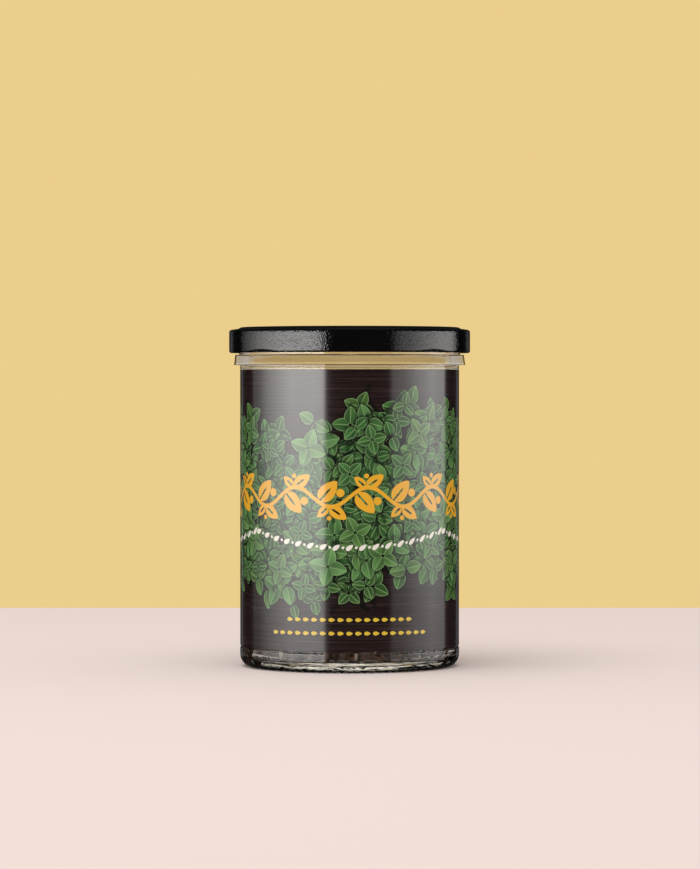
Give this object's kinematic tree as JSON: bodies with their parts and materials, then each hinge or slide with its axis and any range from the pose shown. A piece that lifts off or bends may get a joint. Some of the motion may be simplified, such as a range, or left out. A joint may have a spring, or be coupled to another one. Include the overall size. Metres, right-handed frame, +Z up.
{
  "type": "herb growing jar",
  "caption": "Straight-sided clear glass jar with a printed wrap label and dark growing medium inside, closed by a glossy black lugged twist-off lid.",
  "frame": {"origin": "centre of the ring that the jar stands on, at the supporting surface", "axes": "+Z up along the jar's axis, towards the lid; -Y is the front"},
  "size_m": [0.0856, 0.0856, 0.1201],
  "materials": {
    "glass": "gloss",
    "label_film": "gloss",
    "growing_medium": "matte",
    "sealing_compound": "satin",
    "black_lacquer": "gloss"
  },
  "bodies": {
    "jar": {"glass_jar": "glass", "label": "label_film", "growing_medium": "growing_medium"},
    "lid_carrier": {"lid_liner": "sealing_compound"},
    "lid_shell": {"lid": "black_lacquer"}
  },
  "joints": [
    {"name": "lid_rise", "type": "slide", "parent": "jar", "child": "lid_carrier", "axis": [0, 0, 1], "range_m": [0, 0.002]},
    {"name": "lid_twist", "type": "hinge", "parent": "lid_carrier", "child": "lid_shell", "pos_m": [0, 0, 0.1155], "axis": [0, 0, 1], "range_deg": [0, 60]}
  ],
  "couplings": [
    {"joint": "lid_rise", "follows": "lid_twist", "m_per_rad": 0.0019}
  ]
}
